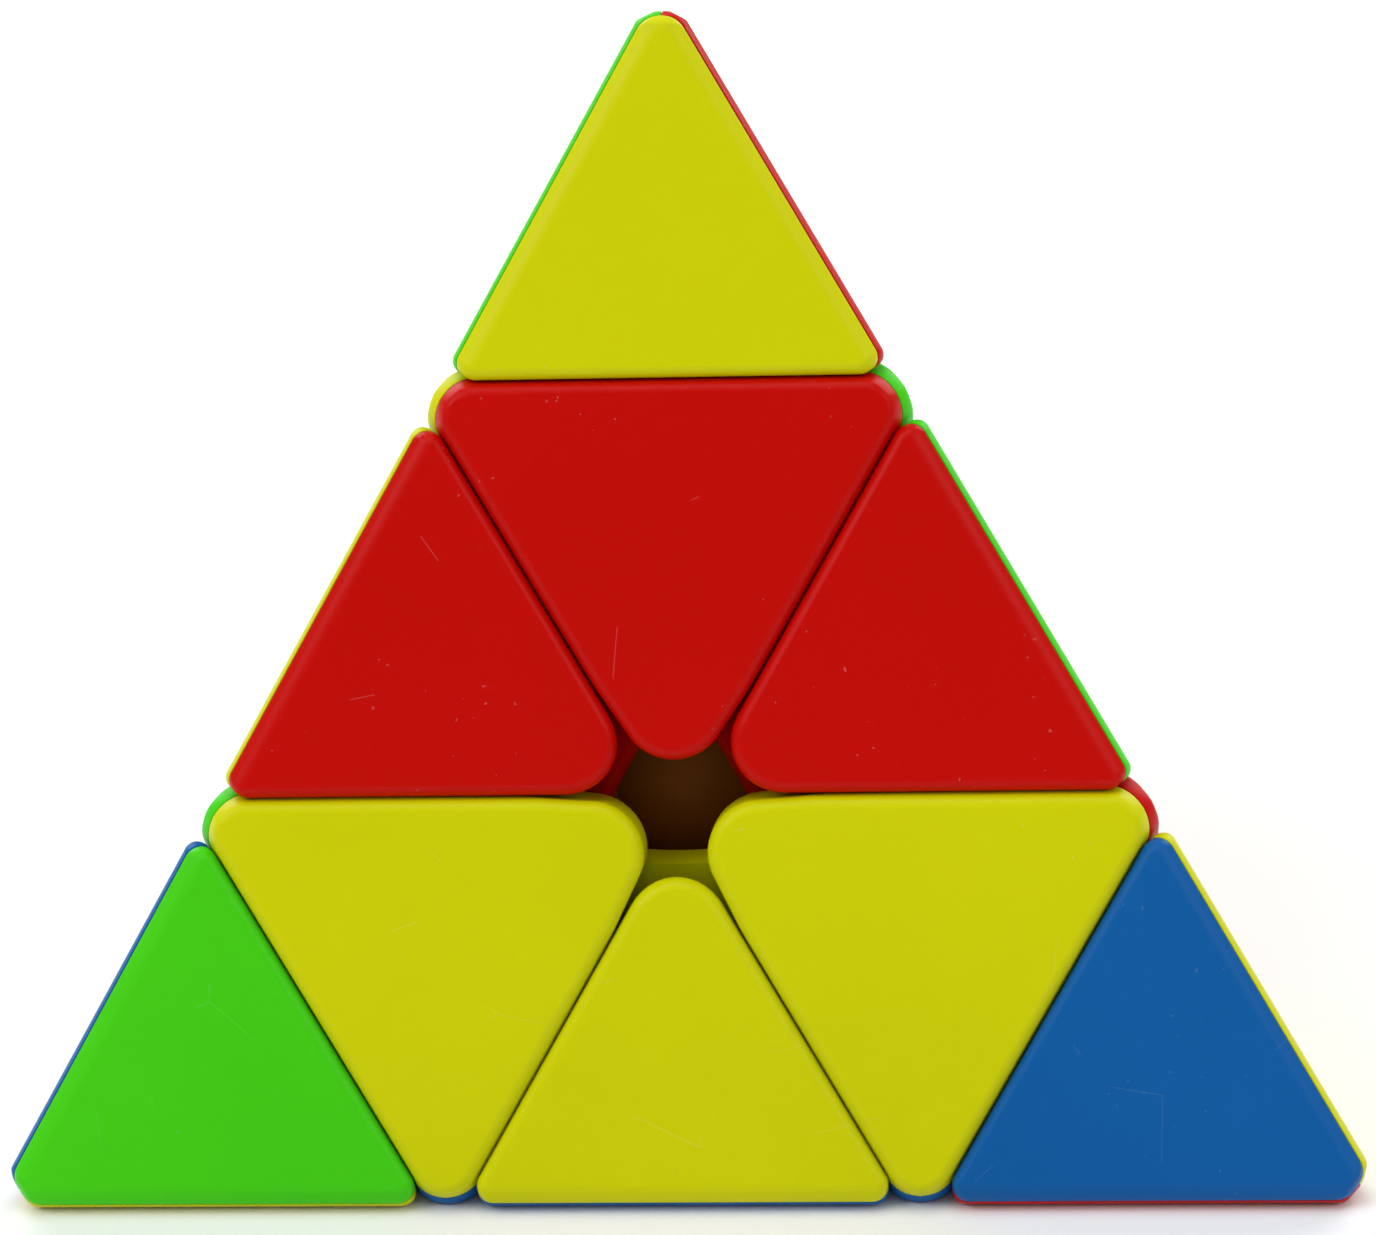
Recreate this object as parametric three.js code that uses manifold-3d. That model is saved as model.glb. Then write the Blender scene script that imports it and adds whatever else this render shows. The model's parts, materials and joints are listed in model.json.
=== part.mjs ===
// A pyramid twisty puzzle: four turning corners with loose tips, six edge pieces, and inside them
// a four-armed core with screws, springs, turned hubs and the feet that keep the edges in.
// Millimetres, +Z up. The origin is the middle of the core, where the four turning axes meet.
import * as THREE from "three";
import { mergeVertices } from "three/addons/utils/BufferGeometryUtils.js";
import Module from "manifold-3d";

const { Manifold, Mesh } = await Module().then((wasm) => {
  wasm.setup();
  return wasm;
});

// Outer shape
const edgeLength = 106; // the whole pyramid's edge, measured to its sharp corners
const cornerTrim = 4.3; // depth cut off each sharp corner
const outerFillet = 2; // radius along the pyramid's edges
const layerShift = 0.32; // how far outside the thirds of its height the layer cuts lie
const tipShift = -0.1; // the same for the tip cuts
const axialNose = 3.9; // corner radius of an axial piece at the middle of a face
const edgeNose = 4.1; // radius along the inner edge of an edge piece

// Clearances
const layerGap = 0.4; // between one layer and the next
const slideGap = 0.4; // between ball-shaped surfaces that slide
const fitGap = 0.3; // between pieces that are seated on each other
const seamGap = 0.2; // between two coloured shells of one piece

// Shells and feet
const wall = 1.8; // thickness of a coloured shell
const faceDepth = 4.1; // from the middle of a face in to the mechanism
const footThickness = 3.8;
const footCut = 1.2; // a layer's feet reach in to this height above the centre
const tongueThickness = 2.4;
const tongueWidth = 12;
const tongueReach = 7; // how far a foot's tongue stands out of the foot

// Core, hubs and tips
const armRadius = 3.6;
const flangeThickness = 2.2;
const flangeAngle = THREE.MathUtils.degToRad(45);
const stemRadius = 6.4;
const neckRadius = 5; // the stem is this thin where the feet slide past it
const webThickness = 2; // floor that carries the spring
const pocketRadius = 4.2;
const plateThickness = 2.4;
const plateRise = 4.4; // from the mechanism up to the axial hub's plate
const tipPlateThickness = 1.6;
const pegRadius = 4.5;
const pegBore = 3.1;
const pegLength = 6.9;
const beadHeight = 0.45;
const beadWidth = 1.2;

// Screw and spring
const screwRadius = 1.4;
const screwGrip = 9; // length of screw inside an arm
const headRadius = 2.7;
const headHeight = 1.8;
const washerRadius = 3.8;
const washerThickness = 0.8;
const recessWidth = 0.8;
const recessLength = 3.4;
const recessDepth = 1.1;
const springRadius = 2.9;
const wireRadius = 0.35;
const springTurns = 4;

// Facets
const around = 20; // of a turned part
const outerFacets = 3; // of the rounding along the pyramid's edges
const noseFacets = 4; // of the rounded corners at the middle of a face
const ballDetail = 4;
const coilSteps = 8; // of one turn of a spring

// Heights along a turning axis, all from the centre
const faceHeight = (edgeLength * Math.sqrt(6)) / 12;
const cornerHeight = 3 * faceHeight;
const layerCut = faceHeight / 3 + layerShift;
const tipCut = (5 * faceHeight) / 3 + tipShift;
const bodyInner = faceHeight - faceDepth;
const footOuter = bodyInner - slideGap;
const footInner = footOuter - footThickness;
const flangeOuter = footInner - slideGap;
const flangeInner = flangeOuter - flangeThickness;
const ballRadius = flangeInner - slideGap;
const armEnd = footOuter;
const webBottom = armEnd + fitGap;
const springSeat = webBottom + webThickness;
const socketTop = tipCut - layerGap / 2;
const tipBase = tipCut + layerGap / 2;
const pegEnd = tipBase - pegLength;
const headTop = pegEnd - fitGap;
const washerTop = headTop - headHeight;
const washerBottom = washerTop - washerThickness;
const plateBottom = bodyInner + plateRise;
const tipPlateBottom = tipBase + wall + fitGap;
const farOut = 2 * cornerHeight;

// The four corners as seen from the centre. Each face lies opposite a corner.
const slope = Math.sqrt(8) / 3;
const cornerAt = (degrees) => {
  const turn = THREE.MathUtils.degToRad(degrees);
  return new THREE.Vector3(slope * Math.cos(turn), slope * Math.sin(turn), -1 / 3);
};
const corners = {
  top: new THREE.Vector3(0, 0, 1),
  left: cornerAt(210),
  right: cornerAt(330),
  back: cornerAt(90),
};
const faceOpposite = { top: "bottom", left: "right", right: "left", back: "front" };

// A plane keeps what lies behind it: below a height along its normal.
const below = (normal, height) => new THREE.Plane(normal.clone(), -height);
const above = (normal, height) => new THREE.Plane(normal.clone().negate(), height);
const inset = (planes, depth) =>
  planes.map((plane) => new THREE.Plane(plane.normal.clone(), plane.constant + depth));

function solidOf(geometry) {
  geometry.deleteAttribute("normal");
  geometry.deleteAttribute("uv");
  const merged = mergeVertices(geometry, 1e-4);
  return new Manifold(
    new Mesh({
      numProp: 3,
      vertProperties: merged.attributes.position.array,
      triVerts: new Uint32Array(merged.index.array),
    }),
  );
}

function geometryOf(solid) {
  const mesh = solid.getMesh();
  const geometry = new THREE.BufferGeometry();
  geometry.setAttribute("position", new THREE.BufferAttribute(mesh.vertProperties, 3));
  geometry.setIndex(new THREE.BufferAttribute(mesh.triVerts, 1));
  geometry.computeVertexNormals();
  return geometry;
}

const trimmed = (solid, planes) =>
  planes.reduce((rest, plane) => {
    const inward = plane.normal.clone().negate();
    return rest.trimByPlane(inward.toArray(), plane.constant);
  }, solid);

const blockWithin = (planes) =>
  trimmed(solidOf(new THREE.BoxGeometry(farOut, farOut, farOut)), planes);

const ball = (radius) => solidOf(new THREE.IcosahedronGeometry(radius, ballDetail));

// A turned part about +Z, from [radius, height] points that run round its section.
function turned(points) {
  const section = points.map(([radius, height]) => new THREE.Vector2(radius, height));
  return solidOf(new THREE.LatheGeometry(section, around).rotateX(Math.PI / 2));
}

const rod = (radius, bottom, top) =>
  turned([
    [0, bottom],
    [radius, bottom],
    [radius, top],
    [0, top],
  ]);

// Planes that round off the edge where two planes meet.
function fillet(first, second, radius, facets) {
  const cosine = first.normal.dot(second.normal);
  const turn = Math.acos(cosine);
  const reachFirst = -first.constant - radius;
  const reachSecond = -second.constant - radius;
  const shareFirst = (reachFirst - cosine * reachSecond) / (1 - cosine * cosine);
  const shareSecond = (reachSecond - cosine * reachFirst) / (1 - cosine * cosine);
  const middle = first.normal
    .clone()
    .multiplyScalar(shareFirst)
    .addScaledVector(second.normal, shareSecond);
  return Array.from({ length: facets }, (_, facet) => {
    const share = (facet + 0.5) / facets;
    const normal = first.normal
      .clone()
      .multiplyScalar(Math.sin((1 - share) * turn))
      .addScaledVector(second.normal, Math.sin(share * turn))
      .normalize();
    return below(normal, normal.dot(middle) + radius);
  });
}

// Planes square to a face that round the corner where two cuts meet on it.
function noseOn(face, first, second, radius) {
  const along = (cut) => cut.normal.clone().projectOnPlane(face.normal);
  const flatten = (cut) => {
    const direction = along(cut);
    const height = -cut.constant + face.constant * cut.normal.dot(face.normal);
    const length = direction.length();
    return below(direction.divideScalar(length), height / length);
  };
  return fillet(flatten(first), flatten(second), radius, noseFacets);
}

const facePlane = (corner) => above(corners[corner], -faceHeight);
const front = facePlane("back");
const leftFace = facePlane("right");
const rightFace = facePlane("left");
const outerFaces = [front, leftFace, rightFace];
const outerRounds = [
  ...fillet(front, leftFace, outerFillet, outerFacets),
  ...fillet(front, rightFace, outerFillet, outerFacets),
  ...fillet(leftFace, rightFace, outerFillet, outerFacets),
];

// The front third of a corner piece lies between the directions of the left and right corners.
const sideOf = (corner, sign) => {
  const flat = corners[corner].clone().setZ(0).normalize();
  return new THREE.Vector3(-flat.y, flat.x, 0).multiplyScalar(sign);
};
const frontThird = [
  above(sideOf("left", 1), seamGap / 2),
  above(sideOf("right", -1), seamGap / 2),
];

// Axial piece at the top corner: three coloured shells on a turned hub.
const layerSides = ["left", "right", "back"].map((corner) =>
  below(corners[corner], layerCut - layerGap / 2),
);
const axialPlanes = [
  ...outerFaces,
  ...outerRounds,
  ...layerSides,
  below(corners.top, socketTop),
  above(corners.top, layerCut + layerGap / 2),
];

function axialShell() {
  const [leftSide, rightSide] = layerSides;
  const outline = [...axialPlanes, ...noseOn(front, leftSide, rightSide, axialNose)];
  const hollow = blockWithin(inset(outline, wall)).subtract(ball(bodyInner + wall));
  return blockWithin([...outline, ...frontThird])
    .subtract(ball(bodyInner))
    .subtract(hollow)
    .subtract(rod(stemRadius + fitGap, 0, farOut));
}

// Points of an arc about the centre, at an angle from the axis.
const arc = (radius, from, to, steps = 2) =>
  Array.from({ length: steps + 1 }, (_, step) => {
    const angle = THREE.MathUtils.lerp(from, to, step / steps);
    return [radius * Math.sin(angle), radius * Math.cos(angle)];
  });

function axialHub() {
  const armBore = armRadius + fitGap;
  const shaftBore = screwRadius + fitGap;
  const socket = pegRadius + fitGap;
  const groove = socket + beadHeight;
  const grooveBottom = pegEnd + beadWidth / 2 - fitGap;
  const grooveTop = pegEnd + (5 * beadWidth) / 2 + fitGap;
  const body = turned([
    ...arc(flangeInner, Math.asin(armBore / flangeInner), flangeAngle),
    ...arc(flangeOuter, flangeAngle, Math.asin(neckRadius / flangeOuter)),
    ...arc(bodyInner, Math.asin(neckRadius / bodyInner), Math.asin(stemRadius / bodyInner)),
    [stemRadius, socketTop],
    [socket, socketTop],
    [socket, grooveTop],
    [groove, grooveTop - beadHeight],
    [groove, grooveBottom + beadHeight],
    [socket, grooveBottom],
    [socket, headTop - headHeight / 2],
    [pocketRadius, headTop - headHeight / 2],
    [pocketRadius, springSeat],
    [shaftBore, springSeat],
    [shaftBore, webBottom],
    [armBore, webBottom],
    arc(flangeInner, Math.asin(armBore / flangeInner), flangeAngle)[0],
  ]);
  const plate = blockWithin([
    ...inset(axialPlanes, wall + fitGap),
    above(corners.top, plateBottom),
    below(corners.top, plateBottom + plateThickness),
  ]).subtract(rod(stemRadius - wall / 4, 0, farOut));
  return body.add(plate);
}

// Tip on the top corner: three coloured shells on a plate with a snap-in peg.
const tipPlanes = [
  ...outerFaces,
  ...outerRounds,
  above(corners.top, tipBase),
  below(corners.top, cornerHeight - cornerTrim),
];

function tipShell() {
  return blockWithin([...tipPlanes, ...frontThird])
    .subtract(blockWithin(inset(tipPlanes, wall)))
    .subtract(rod(pegRadius + fitGap, 0, tipBase + 2 * wall));
}

function tipHub() {
  const bead = pegRadius + beadHeight;
  const peg = turned([
    [pegBore, pegEnd],
    [pegRadius, pegEnd],
    [pegRadius, pegEnd + beadWidth / 2],
    [bead, pegEnd + beadWidth],
    [bead, pegEnd + 2 * beadWidth],
    [pegRadius, pegEnd + (5 * beadWidth) / 2],
    [pegRadius, tipPlateBottom + tipPlateThickness],
    [pegBore, tipPlateBottom + tipPlateThickness],
    [pegBore, pegEnd],
  ]);
  const plate = blockWithin([
    ...inset(tipPlanes, wall + fitGap),
    above(corners.top, tipPlateBottom),
    below(corners.top, tipPlateBottom + tipPlateThickness),
  ]).subtract(rod((pegBore + pegRadius) / 2, 0, farOut));
  return peg.add(plate);
}

// Edge piece between the top and left corners: two coloured shells on a foot.
const outward = corners.top.clone().add(corners.left).normalize();
const lengthwise = corners.top.clone().sub(corners.left).normalize();
const frontward = corners.right.clone().sub(corners.back).normalize();
const topCut = above(corners.top, layerCut + layerGap / 2);
const leftCut = above(corners.left, layerCut + layerGap / 2);
const edgePlanes = [
  front,
  leftFace,
  ...fillet(front, leftFace, outerFillet, outerFacets),
  topCut,
  leftCut,
  ...fillet(topCut, leftCut, edgeNose, noseFacets),
];

function tongue(clearance) {
  const bottom = (footInner + footOuter) / 2;
  const top = footOuter + tongueReach + clearance;
  const box = new THREE.BoxGeometry(
    tongueWidth + 2 * clearance,
    tongueThickness + 2 * clearance,
    top - bottom,
  );
  box.translate(0, 0, (top + bottom) / 2);
  box.applyMatrix4(new THREE.Matrix4().makeBasis(frontward, lengthwise, outward));
  return solidOf(box);
}

function edgeShell() {
  const hollow = blockWithin(inset(edgePlanes, wall)).subtract(ball(bodyInner + wall));
  return blockWithin([...edgePlanes, above(frontward, seamGap / 2)])
    .subtract(ball(bodyInner))
    .subtract(hollow)
    .subtract(tongue(fitGap));
}

function edgeFoot() {
  const sector = blockWithin([
    above(corners.top, footCut + layerGap / 2),
    above(corners.left, footCut + layerGap / 2),
    below(corners.right, footCut - layerGap / 2),
    below(corners.back, footCut - layerGap / 2),
  ]);
  const bore = rod(neckRadius + slideGap, 0, farOut); // clears a hub's neck when that is wide
  return sector
    .intersect(ball(footOuter))
    .subtract(ball(footInner))
    .subtract(bore)
    .subtract(bore.transform(cornerTurns.left.elements))
    .add(tongue(0));
}

// Turns that carry the top corner, and the pair of top and left corners, to every other place.
function turnTo(first, second, third) {
  const from = new THREE.Matrix4().makeBasis(corners.top, corners.left, corners.right);
  const to = new THREE.Matrix4().makeBasis(corners[first], corners[second], corners[third]);
  return to.multiply(from.invert());
}
const cornerTurns = {
  top: turnTo("top", "left", "right"),
  left: turnTo("left", "top", "back"),
  right: turnTo("right", "back", "top"),
  back: turnTo("back", "right", "left"),
};
const edgeTurns = {
  front_left: turnTo("top", "left", "right"),
  front_right: turnTo("top", "right", "back"),
  rear: turnTo("top", "back", "left"),
  front_bottom: turnTo("left", "right", "top"),
  left_bottom: turnTo("left", "back", "right"),
  right_bottom: turnTo("right", "back", "top"),
};

// Core: a ball with four arms, each drilled for a screw.
const screwEnd = armEnd - screwGrip;

function core() {
  return Object.values(cornerTurns).reduce((solid, turn) => {
    const arm = rod(armRadius, 0, armEnd).transform(turn.elements);
    return solid.add(arm);
  }, ball(ballRadius));
}

function drilledCore() {
  const drill = rod(screwRadius + fitGap, screwEnd - fitGap, farOut);
  return Object.values(cornerTurns).reduce(
    (solid, turn) => solid.subtract(drill.transform(turn.elements)),
    core(),
  );
}

function screw() {
  const body = turned([
    [0, screwEnd],
    [screwRadius, screwEnd + screwRadius],
    [screwRadius, washerBottom],
    [washerRadius, washerBottom],
    [washerRadius, washerTop],
    [headRadius, washerTop],
    [headRadius, headTop],
    [0, headTop],
  ]);
  const slot = (width, length) =>
    solidOf(
      new THREE.BoxGeometry(width, length, 2 * recessDepth).translate(0, 0, headTop),
    );
  return body
    .subtract(slot(recessWidth, recessLength))
    .subtract(slot(recessLength, recessWidth));
}

function spring() {
  const bottom = springSeat + fitGap + wireRadius;
  const top = washerBottom - fitGap - wireRadius;
  const coil = new THREE.Curve();
  coil.getPoint = (share) => {
    const turn = 2 * Math.PI * springTurns * share;
    const height = THREE.MathUtils.lerp(bottom, top, share);
    return new THREE.Vector3(springRadius * Math.cos(turn), springRadius * Math.sin(turn), height);
  };
  const wire = new THREE.Shape().absarc(0, 0, wireRadius, 0, 2 * Math.PI);
  const path = { steps: coilSteps * springTurns, curveSegments: 3, extrudePath: coil };
  return solidOf(new THREE.ExtrudeGeometry(wire, path));
}

// Colours of the shells by the face they lie on. A foot has its edge piece's first colour.
const plastic = { yellow: 0xc8c800, red: 0xbe0c02, green: 0x4ccd18, blue: 0x155a9e, dark: 0x2b1d14 };
const axialColours = {
  top: { front: "red", right: "green", left: "yellow" },
  left: { front: "yellow", left: "green", bottom: "blue" },
  right: { front: "yellow", right: "red", bottom: "blue" },
  back: { left: "green", right: "red", bottom: "blue" },
};
const tipColours = {
  top: { front: "yellow", right: "red", left: "green" },
  left: { front: "green", left: "blue", bottom: "yellow" },
  right: { front: "blue", right: "yellow", bottom: "red" },
  back: { left: "blue", right: "green", bottom: "red" },
};
const edgeColours = {
  front_left: { front: "red", left: "yellow" },
  front_right: { front: "red", right: "green" },
  rear: { left: "yellow", right: "green" },
  front_bottom: { front: "yellow", bottom: "blue" },
  left_bottom: { left: "green", bottom: "blue" },
  right_bottom: { right: "red", bottom: "blue" },
};

const puzzle = new THREE.Group();
const steel = new THREE.MeshStandardMaterial({ color: 0xb9bcc0, roughness: 0.35, metalness: 1 });

function place(parent, name, geometry, material) {
  const mesh = new THREE.Mesh(geometry, material);
  mesh.name = name;
  parent.add(mesh);
  return mesh;
}

const coloured = (colour) =>
  new THREE.MeshStandardMaterial({ color: plastic[colour], roughness: 0.3, metalness: 0 });

// The face that a direction points to once a group has been turned.
function faceTowards(direction, turn) {
  const turnedDirection = direction.clone().applyMatrix4(turn);
  const [corner] = Object.entries(corners).sort(
    (one, other) => one[1].dot(turnedDirection) - other[1].dot(turnedDirection),
  )[0];
  return faceOpposite[corner];
}

const thirdTurn = (2 * Math.PI) / 3;
const shapes = {
  axialShell: geometryOf(axialShell()),
  axialHub: geometryOf(axialHub()),
  tipShell: geometryOf(tipShell()),
  tipHub: geometryOf(tipHub()),
  screw: geometryOf(screw()),
  spring: geometryOf(spring()),
  edgeShell: geometryOf(edgeShell()),
  edgeFoot: geometryOf(edgeFoot()),
};

place(puzzle, "core", geometryOf(drilledCore()), coloured("dark"));

for (const [corner, turn] of Object.entries(cornerTurns)) {
  const group = new THREE.Group();
  group.applyMatrix4(turn);
  puzzle.add(group);
  place(group, `${corner}_axial_hub`, shapes.axialHub, coloured("dark"));
  place(group, `${corner}_tip_hub`, shapes.tipHub, coloured("dark"));
  place(group, `${corner}_screw`, shapes.screw, steel.clone());
  place(group, `${corner}_spring`, shapes.spring, steel.clone());
  for (let third = 0; third < 3; third++) {
    const spin = new THREE.Matrix4().makeRotationZ(third * thirdTurn);
    const face = faceTowards(front.normal, turn.clone().multiply(spin));
    const axial = coloured(axialColours[corner][face]);
    const tip = coloured(tipColours[corner][face]);
    place(group, `${corner}_axial_${face}_shell`, shapes.axialShell, axial).applyMatrix4(spin);
    place(group, `${corner}_tip_${face}_shell`, shapes.tipShell, tip).applyMatrix4(spin);
  }
}

for (const [edge, turn] of Object.entries(edgeTurns)) {
  const group = new THREE.Group();
  group.applyMatrix4(turn);
  puzzle.add(group);
  const [footColour] = Object.values(edgeColours[edge]);
  place(group, `${edge}_edge_foot`, shapes.edgeFoot, coloured(footColour));
  for (const half of [0, 1]) {
    const spin = new THREE.Matrix4().makeRotationAxis(outward, half * Math.PI);
    const face = faceTowards(front.normal, turn.clone().multiply(spin));
    const shell = coloured(edgeColours[edge][face]);
    place(group, `${edge}_edge_${face}_shell`, shapes.edgeShell, shell).applyMatrix4(spin);
  }
}

export default puzzle;
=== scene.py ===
import json
import math
import bpy
import bmesh
from mathutils import Matrix, Vector


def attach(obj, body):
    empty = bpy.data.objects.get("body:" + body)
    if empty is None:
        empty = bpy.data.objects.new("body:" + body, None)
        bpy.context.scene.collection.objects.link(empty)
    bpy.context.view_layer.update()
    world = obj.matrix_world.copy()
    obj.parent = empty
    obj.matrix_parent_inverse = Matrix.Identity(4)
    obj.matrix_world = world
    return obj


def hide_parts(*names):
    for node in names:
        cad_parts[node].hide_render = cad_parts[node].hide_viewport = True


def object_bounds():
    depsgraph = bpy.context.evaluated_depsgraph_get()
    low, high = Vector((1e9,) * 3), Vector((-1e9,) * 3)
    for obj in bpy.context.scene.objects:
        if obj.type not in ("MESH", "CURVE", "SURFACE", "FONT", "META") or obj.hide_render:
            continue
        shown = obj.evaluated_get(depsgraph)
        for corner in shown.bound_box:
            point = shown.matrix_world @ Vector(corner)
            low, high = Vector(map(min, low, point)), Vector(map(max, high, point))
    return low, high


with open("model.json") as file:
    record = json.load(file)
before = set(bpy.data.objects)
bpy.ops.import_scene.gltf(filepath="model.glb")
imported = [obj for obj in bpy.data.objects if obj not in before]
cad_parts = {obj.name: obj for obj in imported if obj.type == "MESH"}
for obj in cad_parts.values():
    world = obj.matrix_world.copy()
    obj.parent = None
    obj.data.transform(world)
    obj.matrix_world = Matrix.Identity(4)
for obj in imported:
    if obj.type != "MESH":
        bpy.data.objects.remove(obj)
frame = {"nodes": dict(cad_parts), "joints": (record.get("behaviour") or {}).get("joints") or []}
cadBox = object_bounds()
scene = bpy.context.scene
print("frame loaded,", len(frame["nodes"]), "nodes")

# Everything is shaped in millimetres and made metres when a piece is put in its place
mm = 0.001
faceHeight = -cadBox[0].z / mm
axes = {joint["name"]: Vector(joint["axis"]).normalized() for joint in frame["joints"]}
corners = {corner: axes[corner + "_layer_turn"] for corner in ("top", "left", "right", "back")}
faceOpposite = {"top": "bottom", "left": "right", "right": "left", "back": "front"}

# How far the cuts lie off the thirds of the height, and the tips' ends off the sharp trim
cutShift = {
    "layer": 0.32,
    "tip": -0.1,
    "end": -0.35,
}

# Sizes that several pieces share. The mechanism turns inside a ball of its own radius.
shellDepth = 4.1
puzzle = {
    "layerCut": faceHeight / 3 + cutShift["layer"],
    "tipCut": faceHeight * 5 / 3 + cutShift["tip"],
    "tipEnd": cadBox[1].z / mm + cutShift["end"],
    "gap": 0.06,
    "seamGap": 0.07,
    "wall": 1.8,
    "ridgeRound": 2.0,
    "ridgeStep": 6.5,
    "rimRound": 1.0,
    "innerRound": 0.35,
    "seamRound": 0.09,
    "mechanism": faceHeight - shellDepth,
    "slide": 0.4,
}

# Angles in degrees at which edges are rounded, and the steps they are rounded in
softening = {
    "leastTurn": 25,
    "rimStep": 14,
    "innerStep": 30,
    "seamStep": 60,
    "sharpAngle": 38,
}

# Distances under which points are taken as one
tolerance = {
    "plane": 1e-5,
    "weld": 1e-4,
    "sliver": 1e-3,
    "softWeld": 2e-3,
}
turnSteps = 64
blockSize = 200
beyond = 80


# Each plane keeps what lies below a height along its normal, and knows what surface it cuts
def below(normal, height, kind="cut"):
    return {"normal": normal.normalized(), "height": height, "kind": kind}


def above(normal, height, kind="cut"):
    return below(-normal, -height, kind)


# Planes that stand in for a round between two others
def roundOff(first, second, radius, kind, stepAngle=9):
    cosine = max(-1, min(1, first["normal"].dot(second["normal"])))
    turn = math.acos(cosine)
    steps = max(1, math.ceil(math.degrees(turn) / stepAngle))
    reachFirst = first["height"] - radius
    reachSecond = second["height"] - radius
    share = 1 - cosine * cosine
    middle = first["normal"] * ((reachFirst - cosine * reachSecond) / share)
    middle += second["normal"] * ((reachSecond - cosine * reachFirst) / share)
    planes = []
    for step in range(steps):
        part = (step + 0.5) / steps
        normal = first["normal"] * math.sin((1 - part) * turn)
        normal += second["normal"] * math.sin(part * turn)
        normal.normalize()
        planes.append(below(normal, normal.dot(middle) + radius, kind))
    return planes


# Rounds the corner where two cuts meet on a face, square to the face
def roundOnFace(face, first, second, radius, kind):
    flat = []
    for cut in (first, second):
        lean = cut["normal"].dot(face["normal"])
        along = cut["normal"] - face["normal"] * lean
        height = (cut["height"] - face["height"] * lean) / along.length
        flat.append(below(along, height))
    return roundOff(flat[0], flat[1], radius, kind)


def inset(planes, depth):
    return [below(plane["normal"], plane["height"] - depth, plane["kind"]) for plane in planes]


def closeRims(bm):
    rims = [rim for rim in bm.edges if rim.is_boundary]
    if rims:
        bmesh.ops.holes_fill(bm, edges=rims, sides=0)


def trim(bm, plane):
    normal, height = plane["normal"], plane["height"]
    if max(vert.co.dot(normal) for vert in bm.verts) < height + tolerance["weld"]:
        return
    bmesh.ops.bisect_plane(
        bm,
        geom=bm.verts[:] + bm.edges[:] + bm.faces[:],
        dist=tolerance["plane"],
        plane_co=normal * height,
        plane_no=normal,
        clear_outer=True,
    )
    closeRims(bm)


def blockWithin(planes):
    bm = bmesh.new()
    bmesh.ops.create_cube(bm, size=blockSize)
    for plane in planes:
        trim(bm, plane)
    bmesh.ops.remove_doubles(bm, verts=bm.verts[:], dist=tolerance["weld"])
    bmesh.ops.recalc_face_normals(bm, faces=bm.faces[:])
    return bm


def planeOf(face, planes):
    return max(planes, key=lambda plane: plane["normal"].dot(face.normal))


# Rounds every edge of a block: wide along the rim of a face, narrow along seams and inner edges
def softBlock(planes):
    bm = blockWithin(planes)
    rounds = []
    for rim in bm.edges:
        if len(rim.link_faces) != 2:
            continue
        first, second = (planeOf(face, planes) for face in rim.link_faces)
        turn = first["normal"].angle(second["normal"])
        kinds = {first["kind"], second["kind"]}
        if turn < math.radians(softening["leastTurn"]):
            continue
        if "seam" in kinds:
            rounds += roundOff(first, second, puzzle["seamRound"], "rim", softening["seamStep"])
        elif "skin" in kinds and kinds & {"cut", "corner"}:
            rounds += roundOff(first, second, puzzle["rimRound"], "rim", softening["rimStep"])
        elif kinds <= {"cut", "corner", "inner"}:
            rounds += roundOff(first, second, puzzle["innerRound"], "rim", softening["innerStep"])
    for plane in rounds:
        trim(bm, plane)
    bmesh.ops.remove_doubles(bm, verts=bm.verts[:], dist=tolerance["softWeld"])
    bmesh.ops.dissolve_degenerate(bm, dist=tolerance["sliver"], edges=bm.edges[:])
    closeRims(bm)
    bmesh.ops.recalc_face_normals(bm, faces=bm.faces[:])
    return bm


def workObject(bm):
    mesh = bpy.data.meshes.new("work")
    bm.to_mesh(mesh)
    bm.free()
    work = bpy.data.objects.new("work", mesh)
    scene.collection.objects.link(work)
    return work


# Cuts blocks out of each other, or joins them, and gives back a bmesh
def carve(bm, cuts=(), joins=(), keeps=()):
    work = workObject(bm)
    tools = []
    for operation, bodies in (("INTERSECT", keeps), ("UNION", joins), ("DIFFERENCE", cuts)):
        for body in bodies:
            tool = workObject(body)
            modifier = work.modifiers.new(operation.lower(), "BOOLEAN")
            modifier.operation = operation
            modifier.solver = "EXACT"
            modifier.object = tool
            tools.append(tool)
    bpy.context.view_layer.update()
    depsgraph = bpy.context.evaluated_depsgraph_get()
    carved = bpy.data.meshes.new_from_object(work.evaluated_get(depsgraph))
    result = bmesh.new()
    result.from_mesh(carved)
    for used in [work] + tools:
        usedMesh = used.data
        bpy.data.objects.remove(used)
        bpy.data.meshes.remove(usedMesh)
    bpy.data.meshes.remove(carved)
    bmesh.ops.remove_doubles(result, verts=result.verts[:], dist=tolerance["weld"])
    bmesh.ops.dissolve_degenerate(result, dist=tolerance["weld"], edges=result.edges[:])
    closeRims(result)
    return result


def ball(radius):
    bm = bmesh.new()
    bmesh.ops.create_icosphere(bm, subdivisions=6, radius=radius)
    return bm


# A turned solid about +Z from its section, given as points of radius and height
def turned(section):
    bm = bmesh.new()
    verts = [bm.verts.new((radius, 0, height)) for radius, height in section]
    edges = [bm.edges.new(pair) for pair in zip(verts, verts[1:])]
    bmesh.ops.spin(
        bm, geom=verts + edges, axis=(0, 0, 1), cent=(0, 0, 0), dvec=(0, 0, 0),
        angle=2 * math.pi, steps=turnSteps, use_merge=True, use_duplicate=False,
    )
    bmesh.ops.remove_doubles(bm, verts=bm.verts[:], dist=tolerance["weld"])
    bmesh.ops.recalc_face_normals(bm, faces=bm.faces[:])
    return bm


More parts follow.
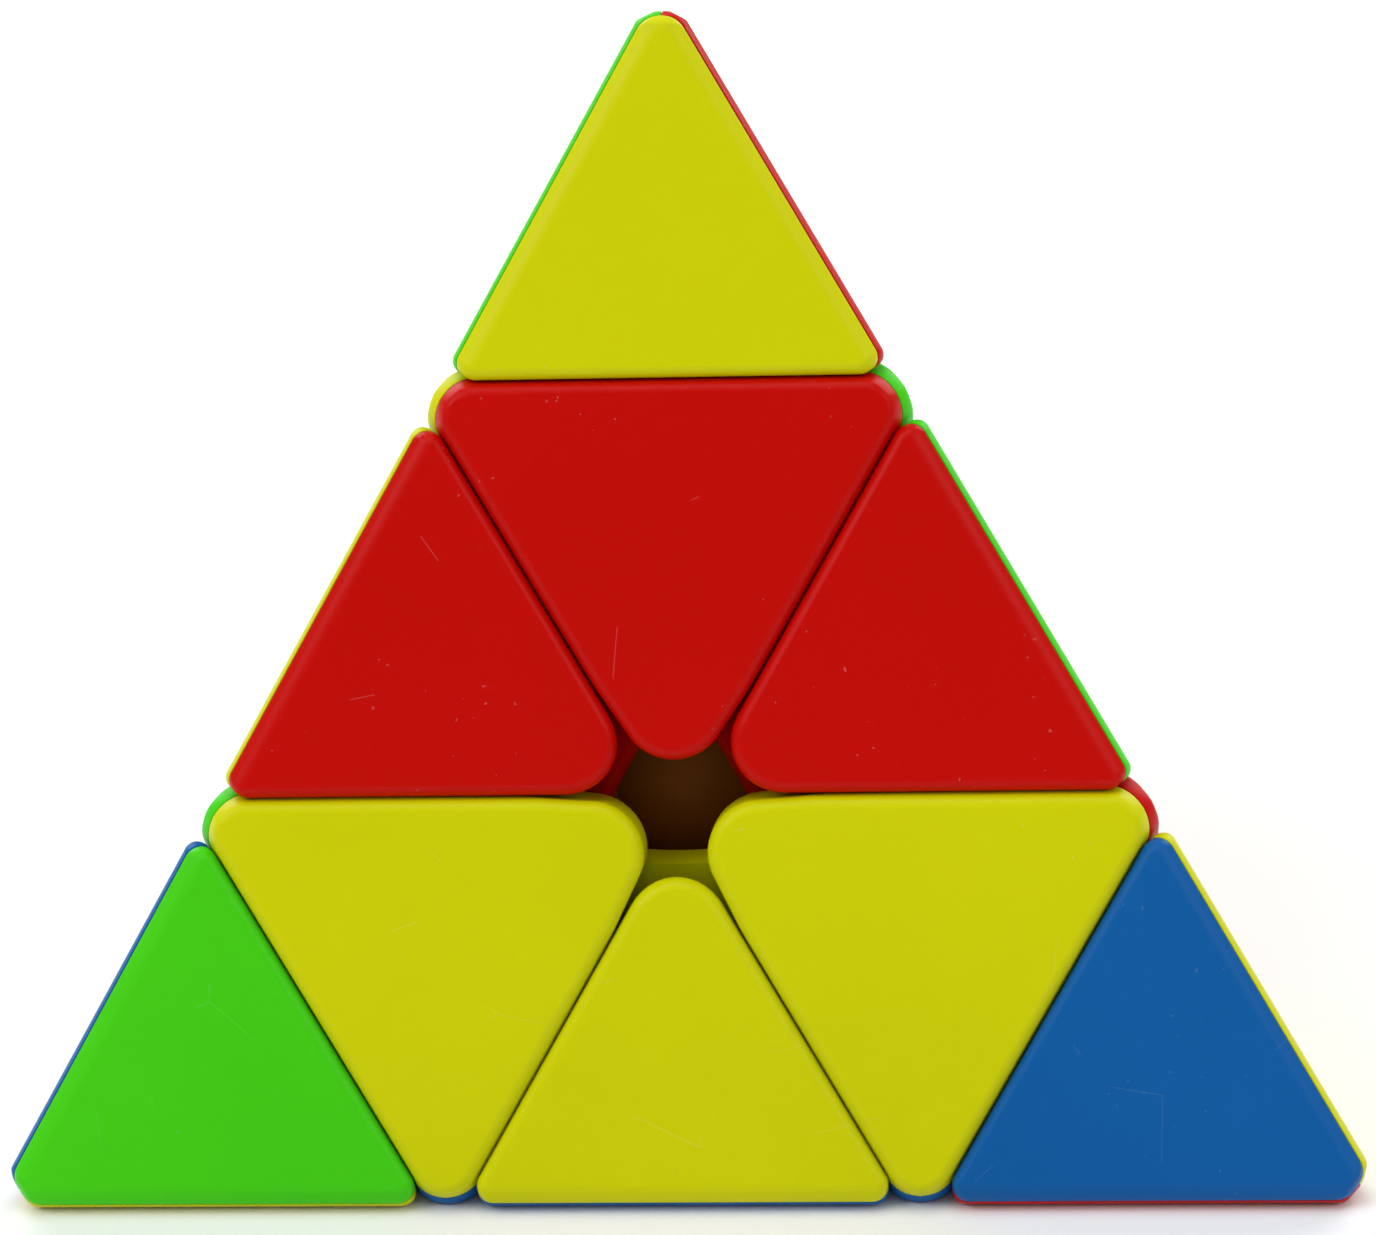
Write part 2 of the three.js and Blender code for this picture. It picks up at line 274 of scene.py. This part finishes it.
def rod(radius, end=beyond):
    return turned([(0, 0), (radius, 0), (radius, end), (0, end)])


def arc(radius, start, end, steps):
    angles = [start + (end - start) * step / steps for step in range(steps + 1)]
    return [(radius * math.sin(angle), radius * math.cos(angle)) for angle in angles]


def moved(bm, matrix):
    bmesh.ops.transform(bm, matrix=matrix, verts=bm.verts[:])
    return bm


# Turns that carry the top corner to the others, and the top and left pair to the other edges
def turnTo(first, second, third):
    start = Matrix([corners["top"], corners["left"], corners["right"]]).transposed()
    end = Matrix([corners[first], corners[second], corners[third]]).transposed()
    return (end @ start.inverted()).to_4x4()


cornerTurns = {
    "top": turnTo("top", "left", "right"),
    "left": turnTo("left", "top", "back"),
    "right": turnTo("right", "back", "top"),
    "back": turnTo("back", "right", "left"),
}
edgeTurns = {
    "front_left": turnTo("top", "left", "right"),
    "front_right": turnTo("top", "right", "back"),
    "rear": turnTo("top", "back", "left"),
    "front_bottom": turnTo("left", "right", "top"),
    "left_bottom": turnTo("left", "back", "right"),
    "right_bottom": turnTo("right", "back", "top"),
}


def faceTowards(direction, turn):
    pointed = turn.to_3x3() @ direction
    return faceOpposite[min(corners, key=lambda corner: corners[corner].dot(pointed))]


# A socket of a shader node that takes part in sums
class Wire:
    def __init__(self, tree, socket):
        self.tree = tree
        self.socket = socket

    def combine(self, operation, *values):
        node = self.tree.nodes.new("ShaderNodeMath")
        node.operation = operation
        for place, value in zip(node.inputs, values):
            if isinstance(value, Wire):
                self.tree.links.new(value.socket, place)
            else:
                place.default_value = value
        return Wire(self.tree, node.outputs[0])

    def __add__(self, other):
        return self.combine("ADD", self, other)

    def __radd__(self, other):
        return self.combine("ADD", other, self)

    def __sub__(self, other):
        return self.combine("SUBTRACT", self, other)

    def __mul__(self, other):
        return self.combine("MULTIPLY", self, other)

    def __lt__(self, other):
        return self.combine("LESS_THAN", self, other)

    def __gt__(self, other):
        return self.combine("GREATER_THAN", self, other)


# One material and the nodes it is made of
class Finish:
    def __init__(self, name):
        self.material = bpy.data.materials.new(name)
        self.material.use_nodes = True
        self.tree = self.material.node_tree
        self.tree.nodes.clear()

    def node(self, kind, settings=None, **sockets):
        node = self.tree.nodes.new("ShaderNode" + kind)
        for name, value in (settings or {}).items():
            setattr(node, name, value)
        for name, value in sockets.items():
            key = int(name[1:]) if name[1:].isdigit() else name.replace("_", " ")
            socket = node.inputs[key]
            if isinstance(value, Wire):
                self.tree.links.new(value.socket, socket)
            else:
                socket.default_value = value
        return node

    def out(self, node, name=0):
        return Wire(self.tree, node.outputs[name])


moulding = {
    "cloudScale": 55,
    "grainScale": 1100,
    "peelScale": 420,
    "peelHeight": 0.00003,
    "peelStrength": 0.35,
    "grainShare": 0.4,
    "shine": 0.1,
    "darkest": 0.94,
    "lightest": 1.04,
    "cloudRoughness": 0.07,
}
marking = {
    "longScratches": {"scale": 90, "width": 0.00003, "turn": (0, 0, 0)},
    "shortScratches": {"scale": 60, "width": 0.00004, "turn": (1, 2, 1)},
    "handled": {"scale": 130, "above": 0.67},
    "rubbed": {"scale": 170, "below": 0.325},
    "specks": {"scale": 2600, "above": 0.85},
    "dusty": {"scale": 60, "above": 0.52},
    "scratchTint": 0.11,
    "scratchDepth": 1.5,
    "speckTint": 0.2,
    "roughness": 0.6,
    "dustFade": 0.75,
    "dustLight": 0.22,
}


# Semi-gloss moulded plastic: cloudy colour, orange peel, a few straight scratches and dust specks
def plastic(name, colour, wear=1.0, gloss=0.32):
    finish = Finish(name)
    place = finish.out(finish.node("TexCoord"), 3)

    def noise(scale, detail):
        return finish.out(finish.node("TexNoise", Vector=place, Scale=scale, Detail=detail))

    # Borders between random cells are flat, so on a flat face they are straight hairlines
    def hairlines(scale, width, turn):
        cast = finish.out(finish.node("Mapping", Vector=place, Rotation=turn))
        cells = finish.node("TexVoronoi", {"feature": "DISTANCE_TO_EDGE"}, Vector=cast, Scale=scale)
        return finish.out(cells, "Distance") < width * scale

    def channels(share, lift=0.0):
        return [min(1, channel * share + lift) for channel in colour] + [1]

    cloud = noise(moulding["cloudScale"], 3.0)
    grain = noise(moulding["grainScale"], 2.0)
    handled = noise(marking["handled"]["scale"], 1.0) > marking["handled"]["above"]
    rubbed = noise(marking["rubbed"]["scale"], 1.0) < marking["rubbed"]["below"]
    scratches = hairlines(**marking["longScratches"]) * handled
    scratches = scratches + hairlines(**marking["shortScratches"]) * rubbed
    grit = noise(marking["specks"]["scale"], 0.0) > marking["specks"]["above"]
    specks = grit * (noise(marking["dusty"]["scale"], 0.0) > marking["dusty"]["above"])
    marks = (scratches * marking["scratchTint"] + specks * marking["speckTint"]) * wear
    shade = finish.node(
        "Mix",
        {"data_type": "RGBA"},
        _0=cloud,
        _6=channels(moulding["darkest"]),
        _7=channels(moulding["lightest"]),
    )
    marked = finish.node(
        "Mix",
        {"data_type": "RGBA"},
        _0=marks,
        _6=finish.out(shade, 2),
        _7=channels(marking["dustFade"], marking["dustLight"]),
    )
    relief = noise(moulding["peelScale"], 3.0) + grain * moulding["grainShare"]
    relief = relief - scratches * marking["scratchDepth"]
    bump = finish.node(
        "Bump", Strength=moulding["peelStrength"], Distance=moulding["peelHeight"], Height=relief
    )
    shader = finish.node(
        "BsdfPrincipled",
        Base_Color=finish.out(marked, 2),
        Roughness=gloss + cloud * moulding["cloudRoughness"] + marks * marking["roughness"],
        Normal=finish.out(bump),
    )
    shader.inputs["Specular IOR Level"].default_value = moulding["shine"]
    finish.node("OutputMaterial", Surface=finish.out(shader))
    return finish.material


steel = {
    "dull": (0.42, 0.43, 0.45, 1),
    "bright": (0.62, 0.62, 0.63, 1),
    "cloudScale": 260,
    "grainScale": 1600,
    "grainHeight": 0.00002,
    "grainStrength": 0.3,
    "roughness": 0.22,
    "grainRoughness": 0.2,
}


# Bright plated steel with a fine grain
def plated(name):
    finish = Finish(name)
    place = finish.out(finish.node("TexCoord"), 3)
    grain = finish.out(finish.node("TexNoise", Vector=place, Scale=steel["grainScale"], Detail=4.0))
    cloud = finish.out(finish.node("TexNoise", Vector=place, Scale=steel["cloudScale"], Detail=2.0))
    tint = finish.node(
        "Mix", {"data_type": "RGBA"}, _0=cloud, _6=steel["dull"], _7=steel["bright"]
    )
    bump = finish.node(
        "Bump", Strength=steel["grainStrength"], Distance=steel["grainHeight"], Height=grain
    )
    shader = finish.node(
        "BsdfPrincipled",
        Base_Color=finish.out(tint, 2),
        Roughness=steel["roughness"] + grain * steel["grainRoughness"],
        Normal=finish.out(bump),
    )
    shader.inputs["Metallic"].default_value = 1.0
    finish.node("OutputMaterial", Surface=finish.out(shader))
    return finish.material


finishes = {
    "yellow": plastic("yellow_shell_plastic", (0.60, 0.615, 0.0), wear=0.8),
    "red": plastic("red_shell_plastic", (0.53, 0.002, 0.0), wear=1.3),
    "green": plastic("green_shell_plastic", (0.058, 0.60, 0.006)),
    "blue": plastic("blue_shell_plastic", (0.004, 0.105, 0.36)),
    "dark": plastic("dark_core_plastic", (0.42, 0.15, 0.014), wear=0.4, gloss=0.42),
    "steel": plated("screw_and_spring_steel"),
}
print("finishes made")


def finishMesh(bm):
    sharp = math.radians(softening["sharpAngle"])
    for face in bm.faces:
        face.smooth = True
    for rim in bm.edges:
        rim.smooth = len(rim.link_faces) == 2 and rim.calc_face_angle(0) < sharp
    return bm


def place(bm, name, turn, body, colour, replaced):
    mesh = bpy.data.meshes.new(name)
    bm.to_mesh(mesh)
    mesh.transform(Matrix.Scale(mm, 4) @ turn)
    mesh.materials.append(finishes[colour])
    piece = bpy.data.objects.new(name, mesh)
    scene.collection.objects.link(piece)
    flats = piece.modifiers.new("flats", "WEIGHTED_NORMAL")
    flats.keep_sharp = True
    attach(piece, body)
    "steel" if colour == "steel" else colour + "_plastic"
    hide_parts(replaced)


# The pyramid's faces and rounded ridges, as seen from the top corner
top, left, right, back = (corners[corner] for corner in ("top", "left", "right", "back"))
front = below(-back, faceHeight, "skin")
leftFace = below(-right, faceHeight, "skin")
rightFace = below(-left, faceHeight, "skin")


# The plane that touches a rounded ridge halfway round
def ridgeBetween(first, second):
    normal = (first["normal"] + second["normal"]).normalized()
    lean = normal.dot(first["normal"])
    return below(normal, (faceHeight - puzzle["ridgeRound"]) / lean + puzzle["ridgeRound"], "skin")


leftRidge = ridgeBetween(front, leftFace)
rightRidge = ridgeBetween(front, rightFace)
leftRound = roundOff(front, leftFace, puzzle["ridgeRound"], "skin", puzzle["ridgeStep"])
rightRound = roundOff(front, rightFace, puzzle["ridgeRound"], "skin", puzzle["ridgeStep"])
outside = [front, *leftRound, *rightRound]


# Sideways from the upright plane through a bottom corner
def sideOf(corner, sign):
    flat = Vector((corners[corner].x, corners[corner].y, 0)).normalized()
    return Vector((-flat.y, flat.x, 0)) * sign


frontThird = [
    above(sideOf("left", 1), puzzle["seamGap"] / 2, "seam"),
    above(sideOf("right", -1), puzzle["seamGap"] / 2, "seam"),
]


# The ball that the shells are hollowed to, over the mechanism
def underside(extra=0):
    return ball(puzzle["mechanism"] + extra)


axial = {
    "noseRound": 3.9,
    "cornerRound": 2.8,
    "stemBore": 6.7,
}


def axialShell():
    leftSide = below(left, puzzle["layerCut"] - puzzle["gap"] / 2)
    rightSide = below(right, puzzle["layerCut"] - puzzle["gap"] / 2)
    socket = below(top, puzzle["tipCut"] - puzzle["gap"] / 2)
    outline = [
        *outside,
        leftSide,
        rightSide,
        socket,
        above(top, puzzle["layerCut"] + puzzle["gap"] / 2, "inner"),
        *roundOnFace(front, leftSide, rightSide, axial["noseRound"], "cut"),
    ]
    for side in (leftSide, rightSide):
        outline += roundOff(socket, side, axial["cornerRound"], "corner")
    hollow = carve(blockWithin(inset(outline, puzzle["wall"])), cuts=[underside(puzzle["wall"])])
    bore = rod(axial["stemBore"])
    return carve(softBlock(outline + frontThird), cuts=[underside(), hollow, bore])


tip = {
    "cornerRound": 1.2,
    "cornerStep": 11,
    "endRound": 1.8,
    "pegBore": 4.8,
}


def tipShell():
    base = above(top, puzzle["tipCut"] + puzzle["gap"] / 2)
    end = below(top, puzzle["tipEnd"], "end")
    outline = [*outside, base, end]
    for ridge in (leftRidge, rightRidge):
        outline += roundOff(ridge, base, tip["cornerRound"], "corner", tip["cornerStep"])
        outline += roundOff(ridge, end, tip["endRound"], "skin")
    outline += roundOff(front, end, tip["endRound"], "skin")
    hollow = blockWithin(inset(outline, puzzle["wall"]))
    bore = rod(tip["pegBore"], end=puzzle["tipCut"] + 2 * puzzle["wall"])
    return carve(softBlock(outline + frontThird), cuts=[hollow, bore])


edge = {
    "noseRound": 4.1,
    "cornerRound": 1.2,
    "cornerStep": 11,
    "tongueWidth": 12,
    "tongueThickness": 2.4,
    "tongueReach": 7,
    "tongueFit": 0.3,
}
outward = (top + left).normalized()
lengthwise = (top - left).normalized()
frontward = (right - back).normalized()


# The upright tongue of a foot, or the slot for it in the shells
def tongue(clearance=0):
    footOuter = puzzle["mechanism"] - puzzle["slide"]
    halfWidth = edge["tongueWidth"] / 2 + clearance
    halfThickness = edge["tongueThickness"] / 2 + clearance
    sides = [
        below(frontward, halfWidth),
        below(-frontward, halfWidth),
        below(lengthwise, halfThickness),
        below(-lengthwise, halfThickness),
        below(outward, footOuter + edge["tongueReach"] + clearance),
        above(outward, footOuter - foot["thickness"] / 2),
    ]
    return blockWithin(sides)


def edgeShell():
    topCut = above(top, puzzle["layerCut"] + puzzle["gap"] / 2)
    leftCut = above(left, puzzle["layerCut"] + puzzle["gap"] / 2)
    outline = [
        front,
        *leftRound,
        topCut,
        leftCut,
        *roundOff(topCut, leftCut, edge["noseRound"], "cut"),
        *roundOff(leftRidge, topCut, edge["cornerRound"], "corner", edge["cornerStep"]),
        *roundOff(leftRidge, leftCut, edge["cornerRound"], "corner", edge["cornerStep"]),
    ]
    hollow = carve(blockWithin(inset(outline, puzzle["wall"])), cuts=[underside(puzzle["wall"])])
    half = softBlock(outline + [above(frontward, puzzle["seamGap"] / 2, "seam")])
    return carve(half, cuts=[underside(), hollow, tongue(edge["tongueFit"])])


foot = {
    "cut": 0.8,
    "thickness": 3.8,
    "lip": 2.1,
    "lipWidth": 2.4,
    "padDrop": 1,
}


# A foot is a thin round lip with a thicker pad behind it, and a tongue that stands in the shells
def edgeFoot():
    outer = puzzle["mechanism"] - puzzle["slide"]
    sector = [
        above(top, foot["cut"] + puzzle["gap"] / 2),
        above(left, foot["cut"] + puzzle["gap"] / 2),
        below(right, foot["cut"] - puzzle["gap"] / 2),
        below(back, foot["cut"] - puzzle["gap"] / 2),
    ]
    lip = carve(ball(outer), keeps=[blockWithin(sector)], cuts=[ball(outer - foot["lip"])])
    padSector = blockWithin(inset(sector, foot["lipWidth"]))
    padOuter = ball(outer - foot["padDrop"])
    pad = carve(padOuter, keeps=[padSector], cuts=[ball(outer - foot["thickness"])])
    neckBore = hub["neckRadius"] + puzzle["slide"]
    necks = [moved(rod(neckBore), cornerTurns[end]) for end in ("top", "left")]
    return carve(lip, joins=[pad, tongue()], cuts=necks)


peg = {
    "length": 6.9,
    "radius": 4.5,
    "bore": 3.1,
    "noseRadius": 4.2,
    "noseChamfer": 0.3,
    "barbRadius": 4.95,
    "barbStart": 1.2,
    "barbEnd": 2.4,
    "barbFoot": 3,
    "plateRadius": 8,
    "plateRise": 2.1,
    "plateThickness": 1.6,
}


# A tip turns on a hollow snap peg below a round plate
def tipHub():
    base = puzzle["tipCut"] + puzzle["gap"] / 2
    pegEnd = base - peg["length"]
    plateBottom = base + peg["plateRise"]
    plateTop = plateBottom + peg["plateThickness"]
    section = [
        (peg["bore"], pegEnd),
        (peg["noseRadius"], pegEnd),
        (peg["radius"], pegEnd + peg["noseChamfer"]),
        (peg["barbRadius"], pegEnd + peg["barbStart"]),
        (peg["barbRadius"], pegEnd + peg["barbEnd"]),
        (peg["radius"], pegEnd + peg["barbFoot"]),
        (peg["radius"], plateBottom),
        (peg["plateRadius"], plateBottom),
        (peg["plateRadius"], plateTop),
        (peg["bore"], plateTop),
    ]
    return turned(section + section[:1])


hub = {
    "armBore": 3.9,
    "flangeThickness": 2.2,
    "flangeAngle": math.radians(45),
    "neckRadius": 5.0,
    "stemRadius": 6.4,
    "screwBore": 1.7,
    "webGap": 0.3,
    "webThickness": 2,
    "pocketRadius": 4.2,
    "socketRadius": 4.8,
    "socketClearance": 1.2,
    "rimChamfer": 0.3,
    "plateRise": 4.4,
    "plateThickness": 2.4,
    "plateGap": 0.3,
    "plateOverlap": 0.45,
}


# A corner piece turns round an arm of the core on a flanged stem, which carries the shells' plate
def axialHub():
    outer = puzzle["mechanism"] - 2 * puzzle["slide"] - foot["thickness"]
    inner = outer - hub["flangeThickness"]
    neck, stem, ring = hub["neckRadius"], hub["stemRadius"], puzzle["mechanism"]
    socket, chamfer = hub["socketRadius"], hub["rimChamfer"]
    socketTop = puzzle["tipCut"] - puzzle["gap"] / 2
    pegEnd = puzzle["tipCut"] + puzzle["gap"] / 2 - peg["length"]
    socketBottom = pegEnd - hub["socketClearance"]
    web = ring - puzzle["slide"] + hub["webGap"]
    section = [
        *arc(inner, math.asin(hub["armBore"] / inner), hub["flangeAngle"], 10),
        *arc(outer, hub["flangeAngle"], math.asin(neck / outer), 10),
        *arc(ring, math.asin(neck / ring), math.asin(stem / ring), 3),
        (stem, socketTop - chamfer),
        (stem - chamfer, socketTop),
        (socket + chamfer, socketTop),
        (socket, socketTop - chamfer),
        (socket, socketBottom),
        (hub["pocketRadius"], socketBottom),
        (hub["pocketRadius"], web + hub["webThickness"]),
        (hub["screwBore"], web + hub["webThickness"]),
        (hub["screwBore"], web),
        (hub["armBore"], web),
    ]
    plate = [
        front,
        leftFace,
        rightFace,
        below(left, puzzle["layerCut"]),
        below(right, puzzle["layerCut"]),
        below(back, puzzle["layerCut"]),
    ]
    plate = inset(plate, puzzle["wall"] + hub["plateGap"])
    plateBottom = ring + hub["plateRise"]
    plate += [above(top, plateBottom), below(top, plateBottom + hub["plateThickness"])]
    flat = carve(blockWithin(plate), cuts=[rod(stem - hub["plateOverlap"])])
    return carve(turned(section + section[:1]), joins=[flat])


core = {
    "armRadius": 3.6,
    "armChamfer": 0.4,
}


def coreBody():
    armEnd = puzzle["mechanism"] - puzzle["slide"]
    radius = armEnd - 2 * puzzle["slide"] - foot["thickness"] - hub["flangeThickness"]
    section = [
        (0, 0),
        (core["armRadius"], 0),
        (core["armRadius"], armEnd - core["armChamfer"]),
        (core["armRadius"] - core["armChamfer"], armEnd),
        (0, armEnd),
    ]
    arms = [moved(turned(section), turn) for turn in cornerTurns.values()]
    return carve(ball(radius), joins=arms)


# Colours of the shells by the face they lie on
axialColours = {
    "top": {"front": "red", "right": "green", "left": "yellow"},
    "left": {"front": "yellow", "left": "green", "bottom": "blue"},
    "right": {"front": "yellow", "right": "red", "bottom": "blue"},
    "back": {"left": "green", "right": "red", "bottom": "blue"},
}
tipColours = {
    "top": {"front": "yellow", "right": "red", "left": "green"},
    "left": {"front": "green", "left": "blue", "bottom": "yellow"},
    "right": {"front": "blue", "right": "yellow", "bottom": "red"},
    "back": {"left": "blue", "right": "green", "bottom": "red"},
}
edgeColours = {
    "front_left": {"front": "red", "left": "yellow"},
    "front_right": {"front": "red", "right": "green"},
    "rear": {"left": "yellow", "right": "green"},
    "front_bottom": {"front": "yellow", "bottom": "blue"},
    "left_bottom": {"left": "green", "bottom": "blue"},
    "right_bottom": {"right": "red", "bottom": "blue"},
}
thirdTurn = 2 * math.pi / 3

axialThird = finishMesh(axialShell())
print("axial shell", len(axialThird.faces), "faces")
tipThird = finishMesh(tipShell())
print("tip shell", len(tipThird.faces), "faces")
axialStem = finishMesh(axialHub())
tipStem = finishMesh(tipHub())
for corner, turn in cornerTurns.items():
    for third in range(3):
        spin = turn @ Matrix.Rotation(third * thirdTurn, 4, top)
        face = faceTowards(front["normal"], spin)
        colour = axialColours[corner][face]
        name = corner + "_axial_shell_" + face
        place(axialThird, name, spin, corner + "_axial", colour, f"{corner}_axial_{face}_shell")
        colour = tipColours[corner][face]
        name = corner + "_tip_shell_" + face
        place(tipThird, name, spin, corner + "_tip", colour, f"{corner}_tip_{face}_shell")
    place(axialStem, corner + "_axial_stem", turn, corner + "_axial", "dark", corner + "_axial_hub")
    place(tipStem, corner + "_tip_stem", turn, corner + "_tip", "dark", corner + "_tip_hub")
    for node in ("_screw", "_spring"):
        metal = frame["nodes"][corner + node]
        metal.material_slots[0].material = finishes["steel"]
print("corners placed")

edgeHalf = finishMesh(edgeShell())
print("edge shell", len(edgeHalf.faces), "faces")
edgePad = finishMesh(edgeFoot())
for name, turn in edgeTurns.items():
    body = name + "_edge"
    for half in (0, 1):
        spin = turn @ Matrix.Rotation(half * math.pi, 4, outward)
        face = faceTowards(front["normal"], spin)
        colour = edgeColours[name][face]
        place(edgeHalf, f"{body}_half_{face}", spin, body, colour, f"{body}_{face}_shell")
    footColour = list(edgeColours[name].values())[0]
    place(edgePad, body + "_slide", turn, body, footColour, body + "_foot")
place(finishMesh(coreBody()), "core_ball", Matrix(), "core", "dark", "core")
print("edges and core placed")

# Floor, light and camera
stage = {
    "floorSize": 8.0,
    "floorDrop": 0.02,
    "floorColour": (0.9, 0.9, 0.9, 1),
    "floorRoughness": 0.9,
    "roomColour": (1, 1, 1, 1),
    "roomLight": 0.28,
    "lightDistance": 1.5,
    "lights": {
        "key": {"azimuth": -62, "elevation": 42, "size": 0.9, "power": 8.9},
        "fill": {"azimuth": 62, "elevation": 34, "size": 0.9, "power": 4.8},
        "overhead": {"azimuth": 0, "elevation": 84, "size": 1.2, "power": 8},
        "rearLeft": {"azimuth": 215, "elevation": 30, "size": 1.0, "power": 9},
        "rearRight": {"azimuth": 140, "elevation": 30, "size": 1.0, "power": 10},
    },
}
view = {
    "distance": 0.3,
    "fieldWidth": 0.09905,
    "sensorWidth": 36,
    "nearest": 0.02,
    "farthest": 20,
    "azimuth": 3.96,
    "elevation": 24.74,
    "roll": -2.37,
    "aimRight": 0.00126,
    "aimUp": 0.01369,
}


# The way to a light or camera, from degrees round from the front and degrees up
def directionTo(azimuth, elevation):
    around, up = math.radians(azimuth), math.radians(elevation)
    flat = math.cos(up)
    return Vector((math.sin(around) * flat, -math.cos(around) * flat, math.sin(up)))


floorMesh = bmesh.new()
bmesh.ops.create_grid(floorMesh, x_segments=4, y_segments=4, size=stage["floorSize"] / 2)
floorHeight = cadBox[0].z - stage["floorDrop"] * mm
bmesh.ops.translate(floorMesh, verts=floorMesh.verts[:], vec=(0, 0, floorHeight))
floorData = bpy.data.meshes.new("floor")
floorMesh.to_mesh(floorData)
floorMesh.free()
floor = bpy.data.objects.new("floor", floorData)
scene.collection.objects.link(floor)
paper = Finish("pale_paper")
paperShader = paper.node(
    "BsdfPrincipled", Base_Color=stage["floorColour"], Roughness=stage["floorRoughness"]
)
paper.node("OutputMaterial", Surface=paper.out(paperShader))
floorData.materials.append(paper.material)

for name, lamp in stage["lights"].items():
    data = bpy.data.lights.new(name, "AREA")
    data.shape = "DISK"
    data.size = lamp["size"]
    data.energy = lamp["power"]
    towards = directionTo(lamp["azimuth"], lamp["elevation"])
    light = bpy.data.objects.new(name, data)
    light.location = towards * stage["lightDistance"]
    light.rotation_euler = towards.to_track_quat("Z", "Y").to_euler()
    light.visible_camera = False
    scene.collection.objects.link(light)

room = bpy.data.worlds.new("room")
room.use_nodes = True
background = room.node_tree.nodes["Background"]
background.inputs["Color"].default_value = stage["roomColour"]
background.inputs["Strength"].default_value = stage["roomLight"]
scene.world = room
scene.view_settings.view_transform = "Standard"

towardsCamera = directionTo(view["azimuth"], view["elevation"])
acrossView = directionTo(view["azimuth"] + 90, 0)
upView = towardsCamera.cross(acrossView)
acrossFace = Vector((1, 0, 0))
aim = front["normal"] * faceHeight * mm + acrossFace * view["aimRight"]
aim += front["normal"].cross(acrossFace) * view["aimUp"]
cameraData = bpy.data.cameras.new("camera")
cameraData.sensor_width = view["sensorWidth"]
cameraData.lens = view["sensorWidth"] * view["distance"] / view["fieldWidth"]
cameraData.clip_start = view["nearest"]
cameraData.clip_end = view["farthest"]
camera = bpy.data.objects.new("camera", cameraData)
axesOfView = Matrix((acrossView, upView, towardsCamera)).transposed()
spun = axesOfView @ Matrix.Rotation(math.radians(view["roll"]), 3, "Z")
camera.matrix_world = Matrix.Translation(aim + towardsCamera * view["distance"]) @ spun.to_4x4()
scene.collection.objects.link(camera)
scene.camera = camera
print("stage set")
